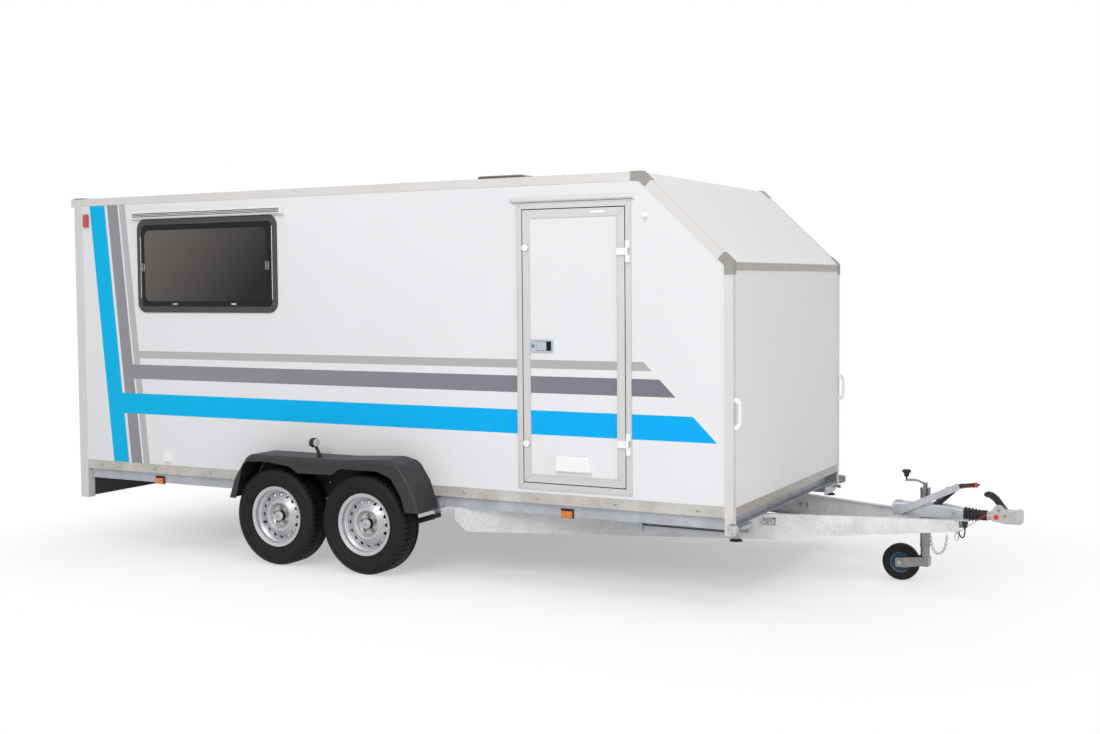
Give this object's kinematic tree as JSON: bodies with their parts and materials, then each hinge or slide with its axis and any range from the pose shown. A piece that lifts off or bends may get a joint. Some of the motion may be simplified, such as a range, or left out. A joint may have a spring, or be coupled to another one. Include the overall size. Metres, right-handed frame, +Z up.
{
  "type": "tandem-axle box caravan trailer",
  "caption": "White box-bodied caravan trailer on tandem axles, with side door, rear loading ramp, windows, overrun drawbar, ball coupling and jockey wheel.",
  "frame": {"origin": "on the ground under the middle of the whole outline", "axes": "+X forward towards the coupling, +Y to the left of travel, +Z up; the side door is on the -Y side"},
  "size_m": [6.395, 2.55, 2.527],
  "materials": {
    "aluminium_trim": "satin anodised",
    "black_moulding": "grained black moulding",
    "black_rubber": "ribbed rubber",
    "cable_black": "smooth sheath",
    "cable_red": "red coated wire rope",
    "coupling_steel": "zinc-plated casting",
    "floor_board": "coated plywood",
    "galvanised": "hot-dip galvanised, mottled",
    "jockey_rim": "rubber tyre on a grey-blue plastic rim",
    "lamp_lens": "red and amber moulded lens",
    "silver_blind": "ridged extrusion",
    "tinted_pane": "smoked acrylic",
    "tyre": "ribbed tread and plain sidewall",
    "vent_plastic": "smoked moulding",
    "wheel_steel": "silver lacquer",
    "white_panel": "smooth gloss laminate with blue and grey stripes on the sides",
    "white_plastic": "moulded white"
  },
  "bodies": {
    "root": {"axle_front": "galvanised", "axle_rear": "galvanised", "blind_boxes": "silver_blind", "breakaway_cable": "cable_red", "cable_ends": "black_rubber", "chassis_rails": "galvanised", "coupling_handle": "black_rubber", "coupling_head": "coupling_steel", "cross_members": "galvanised", "dampers": "black_rubber", "door_frame": "aluminium_trim", "door_hinge_mounts": "white_plastic", "draw_bellows": "black_rubber", "drawbar_beams": "galvanised", "edge_trims": "aluminium_trim", "floor_panel": "floor_board", "front_panel": "white_panel", "front_strips": "aluminium_trim", "grab_handles": "white_plastic", "handbrake_grip": "black_rubber", "handbrake_lever": "galvanised", "jockey_clamp": "galvanised", "jockey_tube": "galvanised", "lamp_board": "black_moulding", "lamps": "lamp_lens", "mudguard_left": "black_moulding", "mudguard_right": "black_moulding", "overrun_housing": "galvanised", "rear_portal": "aluminium_trim", "roof_panel": "white_panel", "roof_vent": "vent_plastic", "safety_chain": "galvanised", "side_wall_left": "white_panel", "side_wall_right": "white_panel", "sill_rails": "galvanised", "slope_panel": "white_panel", "steady_brackets": "galvanised", "trailer_cable": "cable_black", "wall_fittings": "aluminium_trim", "window_frames": "black_moulding", "window_panes": "tinted_pane"},
    "side_door": {"door_fittings": "white_plastic", "door_hinge_straps": "white_plastic", "door_leaf_frame": "aluminium_trim", "door_leaf_panel": "white_panel"},
    "jockey_swivel": {"jockey_fork": "galvanised"},
    "jockey_roller": {"jockey_wheel": "jockey_rim"},
    "ramp": {"ramp_fittings": "aluminium_trim", "ramp_panel": "white_panel", "rear_ramp": "aluminium_trim"},
    "wheel_front_left": {"rim_front_left": "wheel_steel", "tyre_front_left": "tyre"},
    "wheel_front_right": {"rim_front_right": "wheel_steel", "tyre_front_right": "tyre"},
    "wheel_rear_left": {"rim_rear_left": "wheel_steel", "tyre_rear_left": "tyre"},
    "wheel_rear_right": {"rim_rear_right": "wheel_steel", "tyre_rear_right": "tyre"},
    "steady_left": {"steady_left": "galvanised"},
    "steady_right": {"steady_right": "galvanised"}
  },
  "joints": [
    {"name": "front_right_wheel_spin", "type": "hinge", "parent": "root", "child": "wheel_front_right", "pos_m": [-0.5155, -1.165, 0.315], "axis": [0, 1, 0], "continuous": true},
    {"name": "front_left_wheel_spin", "type": "hinge", "parent": "root", "child": "wheel_front_left", "pos_m": [-0.5155, 1.165, 0.315], "axis": [0, 1, 0], "continuous": true},
    {"name": "rear_right_wheel_spin", "type": "hinge", "parent": "root", "child": "wheel_rear_right", "pos_m": [-1.2055, -1.165, 0.315], "axis": [0, 1, 0], "continuous": true},
    {"name": "rear_left_wheel_spin", "type": "hinge", "parent": "root", "child": "wheel_rear_left", "pos_m": [-1.2055, 1.165, 0.315], "axis": [0, 1, 0], "continuous": true},
    {"name": "jockey_swivel_turn", "type": "hinge", "parent": "root", "child": "jockey_swivel", "pos_m": [2.6285, 0.086, 0.3], "axis": [0, 0, 1], "continuous": true},
    {"name": "jockey_wheel_spin", "type": "hinge", "parent": "jockey_swivel", "child": "jockey_roller", "pos_m": [2.4865, 0.086, 0.11], "axis": [0, 1, 0], "continuous": true},
    {"name": "side_door_swing", "type": "hinge", "parent": "root", "child": "side_door", "pos_m": [1.2005, -1.056, 1.43], "axis": [0, 0, 1], "range_deg": [0, 170]},
    {"name": "rear_ramp_drop", "type": "hinge", "parent": "root", "child": "ramp", "pos_m": [-3.1755, 0, 0.497], "axis": [0, -1, 0], "range_deg": [0, 104]},
    {"name": "steady_right_drop", "type": "hinge", "parent": "root", "child": "steady_right", "pos_m": [1.2025, -0.915, 0.382], "axis": [0, 1, 0], "range_deg": [0, 32]},
    {"name": "steady_left_drop", "type": "hinge", "parent": "root", "child": "steady_left", "pos_m": [1.2025, 0.915, 0.382], "axis": [0, 1, 0], "range_deg": [0, 32]}
  ]
}
